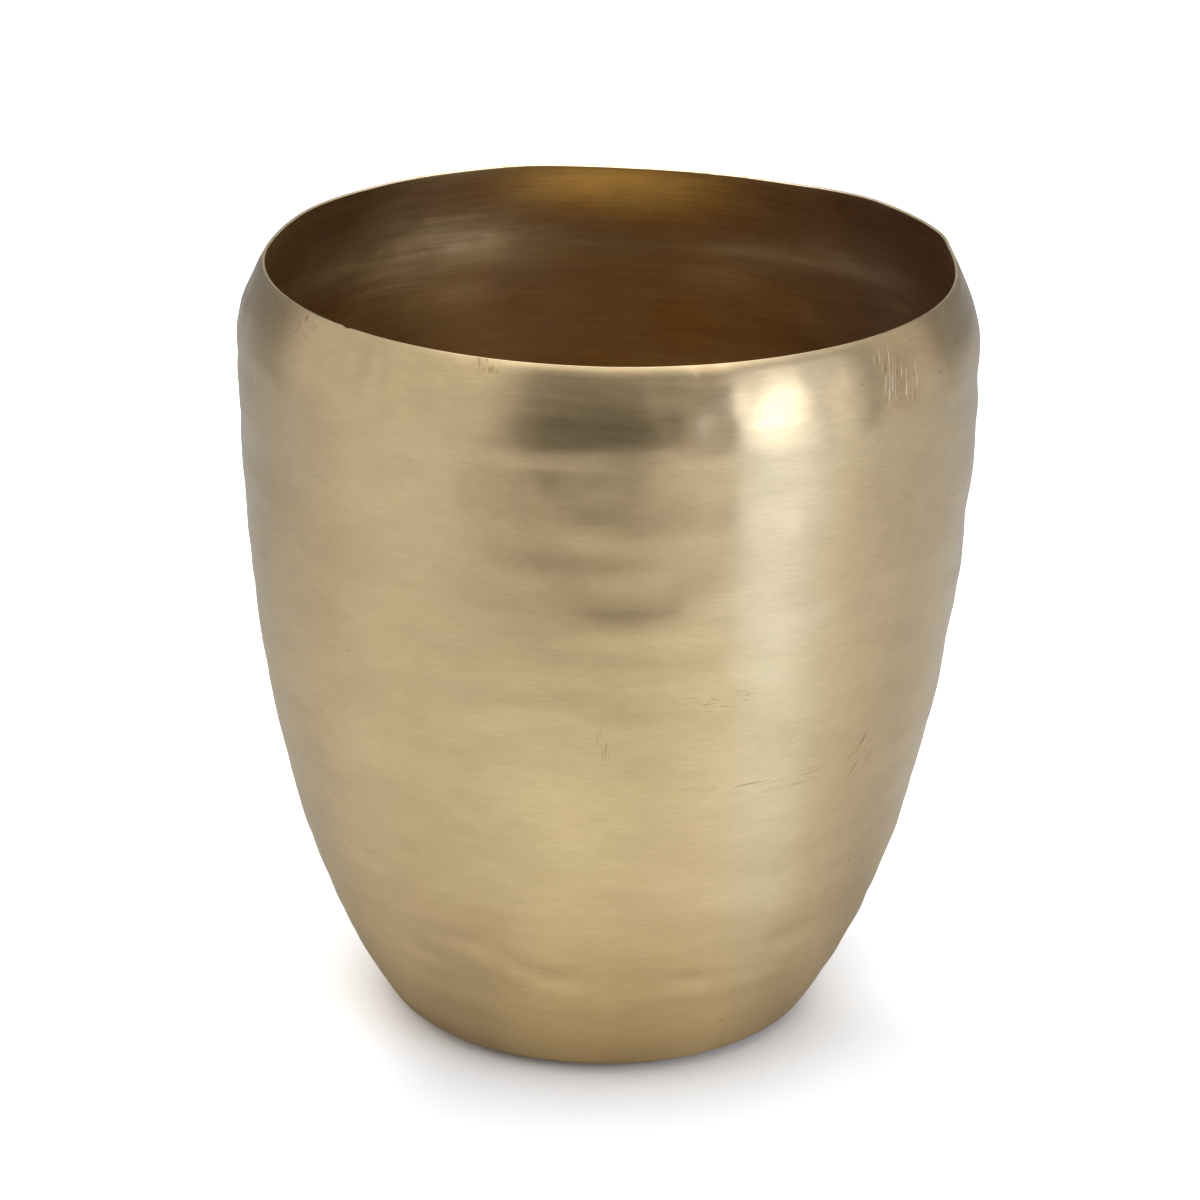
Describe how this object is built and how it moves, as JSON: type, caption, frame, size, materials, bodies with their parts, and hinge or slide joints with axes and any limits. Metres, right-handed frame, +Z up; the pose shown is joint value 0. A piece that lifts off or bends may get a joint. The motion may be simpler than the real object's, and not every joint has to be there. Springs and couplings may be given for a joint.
{
  "type": "planter pot",
  "caption": "Hand-beaten sheet brass planter pot with a rounded foot, swelling wall and turned-in lip, on felt pads.",
  "frame": {"origin": "centre of the felt pads' undersides, on the pot's axis", "axes": "+Z is up along the pot's axis, +X right and -Y towards the viewer of the front"},
  "size_m": [0.1602, 0.1602, 0.1716],
  "materials": {
    "brass_wall": "satin brushed round the pot, hand-beaten",
    "brass_base": "satin, dulled",
    "braze": "as cast, scraped",
    "felt": "pressed felt"
  },
  "bodies": {
    "root": {"wall_shell": "brass_wall", "base_disc": "brass_base", "braze_seam": "braze", "felt_pad_1": "felt", "felt_pad_2": "felt", "felt_pad_3": "felt", "felt_pad_4": "felt"}
  },
  "joints": []
}
